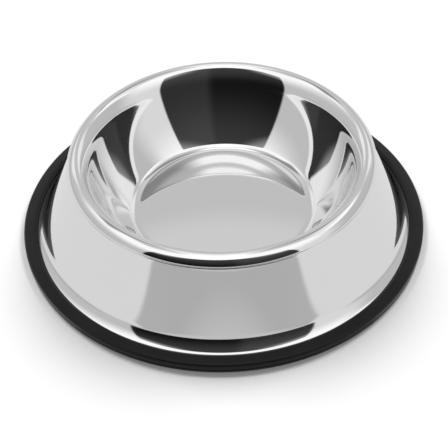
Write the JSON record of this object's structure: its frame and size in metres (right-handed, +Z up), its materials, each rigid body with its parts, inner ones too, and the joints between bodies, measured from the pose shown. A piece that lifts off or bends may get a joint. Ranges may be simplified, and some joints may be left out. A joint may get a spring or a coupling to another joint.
{
  "type": "dog bowl",
  "caption": "Shallow round steel pet bowl hung in a flared conical skirt by a rolled rim, standing on a grippy rubber ring.",
  "frame": {"origin": "on the table, under the centre of the bowl", "axes": "+Z up along the bowl's axis of revolution; X and Y lie in the table plane"},
  "size_m": [0.254, 0.254, 0.0603],
  "materials": {
    "bowl_steel": "mirror polished stainless steel",
    "skirt_steel": "mirror polished stainless steel outside, plain inside",
    "ring_rubber": "satin moulded rubber"
  },
  "bodies": {
    "root": {"inner_bowl": "bowl_steel", "outer_skirt": "skirt_steel", "rubber_ring": "ring_rubber"}
  },
  "joints": []
}
